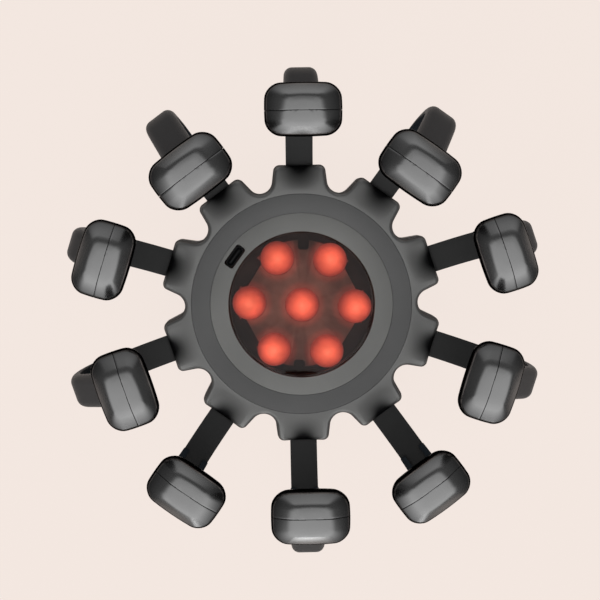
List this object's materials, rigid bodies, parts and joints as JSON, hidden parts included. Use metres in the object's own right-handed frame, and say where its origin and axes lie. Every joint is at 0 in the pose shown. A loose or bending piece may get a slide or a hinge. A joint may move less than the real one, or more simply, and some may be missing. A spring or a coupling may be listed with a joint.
{
  "type": "electric scalp massager",
  "caption": "Handheld scalp massager: lobed round hub with lit red window and charging port, and sprung arms that curve up to glossy vibrating pods.",
  "frame": {"origin": "on the hub's axis, in the plane of the flat back that the part lies on", "axes": "+Z from the flat back through the lit window to the pods, +Y towards arm 01; in use the part is turned over, so that -Z is up and the pods point down onto the scalp"},
  "size_m": [0.1736, 0.1802, 0.12],
  "materials": {
    "shell": "satin moulded ABS, charcoal",
    "trim": "fine-textured ABS, dark grey",
    "bezel": "fine-textured ABS, mid grey",
    "window": "smoke-tinted clear plastic, polished",
    "lamp": "red lamp domes, frosted",
    "reflector": "dark matt plate",
    "board": "glass-fibre circuit board, green solder mask",
    "cell": "aluminium-laminate pouch",
    "steel": "plain steel",
    "switch": "black moulded switch body",
    "inner_plastic": "black glass-filled nylon",
    "strip": "spring steel strip, matt black coating",
    "ribbon": "flat polyimide cable",
    "button": "soft-touch button",
    "leg": "semi-gloss moulded ABS, near black",
    "pod": "glossy gunmetal-grey moulded ABS"
  },
  "bodies": {
    "hub": {"rear_housing": "shell", "face_cover": "shell", "trim_ring": "trim", "lens_bezel": "bezel", "lens": "window", "lamps": "lamp", "reflector": "reflector", "lamp_board": "board", "main_board": "board", "battery": "cell", "usb_socket": "steel", "tactile_switch": "switch", "clamp_ring": "inner_plastic", "housing_screws": "steel", "clamp_screws": "steel", "lamp_board_screws": "steel", "main_board_screws": "steel", "arm_strips": "strip", "arm_ribbons": "ribbon"},
    "button": {"power_button": "button"},
    "arm_01": {"leg_01": "leg", "pod_inner_01": "pod", "pod_outer_01": "pod", "pod_motor_01": "steel"},
    "arm_02": {"leg_02": "leg", "pod_inner_02": "pod", "pod_outer_02": "pod", "pod_motor_02": "steel"},
    "arm_03": {"leg_03": "leg", "pod_inner_03": "pod", "pod_outer_03": "pod", "pod_motor_03": "steel"},
    "arm_04": {"leg_04": "leg", "pod_inner_04": "pod", "pod_outer_04": "pod", "pod_motor_04": "steel"},
    "arm_05": {"leg_05": "leg", "pod_inner_05": "pod", "pod_outer_05": "pod", "pod_motor_05": "steel"},
    "arm_06": {"leg_06": "leg", "pod_inner_06": "pod", "pod_outer_06": "pod", "pod_motor_06": "steel"},
    "arm_07": {"leg_07": "leg", "pod_inner_07": "pod", "pod_outer_07": "pod", "pod_motor_07": "steel"},
    "arm_08": {"leg_08": "leg", "pod_inner_08": "pod", "pod_outer_08": "pod", "pod_motor_08": "steel"},
    "arm_09": {"leg_09": "leg", "pod_inner_09": "pod", "pod_outer_09": "pod", "pod_motor_09": "steel"},
    "arm_10": {"leg_10": "leg", "pod_inner_10": "pod", "pod_outer_10": "pod", "pod_motor_10": "steel"}
  },
  "joints": [
    {"name": "button_press", "type": "slide", "parent": "hub", "child": "button", "axis": [0, 0, 1], "range_m": [0, 0.0006], "stiffness_N_per_m": 2000, "springref_m": -0.0003},
    {"name": "arm_01_flex", "type": "hinge", "parent": "hub", "child": "arm_01", "pos_m": [0, 0.06289, 0.02381], "axis": [-1, 0, 0], "range_deg": [-8, 25], "stiffness_Nm_per_rad": 0.6, "deforming": ["arm_strips", "arm_ribbons"]},
    {"name": "arm_02_flex", "type": "hinge", "parent": "hub", "child": "arm_02", "pos_m": [-0.03696, 0.05088, 0.02381], "axis": [-0.809, -0.5878, 0], "range_deg": [-8, 25], "stiffness_Nm_per_rad": 0.6, "deforming": ["arm_strips", "arm_ribbons"]},
    {"name": "arm_03_flex", "type": "hinge", "parent": "hub", "child": "arm_03", "pos_m": [-0.05981, 0.01943, 0.02381], "axis": [-0.309, -0.9511, 0], "range_deg": [-8, 25], "stiffness_Nm_per_rad": 0.6, "deforming": ["arm_strips", "arm_ribbons"]},
    {"name": "arm_04_flex", "type": "hinge", "parent": "hub", "child": "arm_04", "pos_m": [-0.05981, -0.01943, 0.02381], "axis": [0.309, -0.9511, 0], "range_deg": [-8, 25], "stiffness_Nm_per_rad": 0.6, "deforming": ["arm_strips", "arm_ribbons"]},
    {"name": "arm_05_flex", "type": "hinge", "parent": "hub", "child": "arm_05", "pos_m": [-0.03696, -0.05088, 0.02381], "axis": [0.809, -0.5878, 0], "range_deg": [-8, 25], "stiffness_Nm_per_rad": 0.6, "deforming": ["arm_strips", "arm_ribbons"]},
    {"name": "arm_06_flex", "type": "hinge", "parent": "hub", "child": "arm_06", "pos_m": [0, -0.06289, 0.02381], "axis": [1, 0, 0], "range_deg": [-8, 25], "stiffness_Nm_per_rad": 0.6, "deforming": ["arm_strips", "arm_ribbons"]},
    {"name": "arm_07_flex", "type": "hinge", "parent": "hub", "child": "arm_07", "pos_m": [0.03696, -0.05088, 0.02381], "axis": [0.809, 0.5878, 0], "range_deg": [-8, 25], "stiffness_Nm_per_rad": 0.6, "deforming": ["arm_strips", "arm_ribbons"]},
    {"name": "arm_08_flex", "type": "hinge", "parent": "hub", "child": "arm_08", "pos_m": [0.05981, -0.01943, 0.02381], "axis": [0.309, 0.9511, 0], "range_deg": [-8, 25], "stiffness_Nm_per_rad": 0.6, "deforming": ["arm_strips", "arm_ribbons"]},
    {"name": "arm_09_flex", "type": "hinge", "parent": "hub", "child": "arm_09", "pos_m": [0.05981, 0.01943, 0.02381], "axis": [-0.309, 0.9511, 0], "range_deg": [-8, 25], "stiffness_Nm_per_rad": 0.6, "deforming": ["arm_strips", "arm_ribbons"]},
    {"name": "arm_10_flex", "type": "hinge", "parent": "hub", "child": "arm_10", "pos_m": [0.03696, 0.05088, 0.02381], "axis": [-0.809, 0.5878, 0], "range_deg": [-8, 25], "stiffness_Nm_per_rad": 0.6, "deforming": ["arm_strips", "arm_ribbons"]}
  ]
}
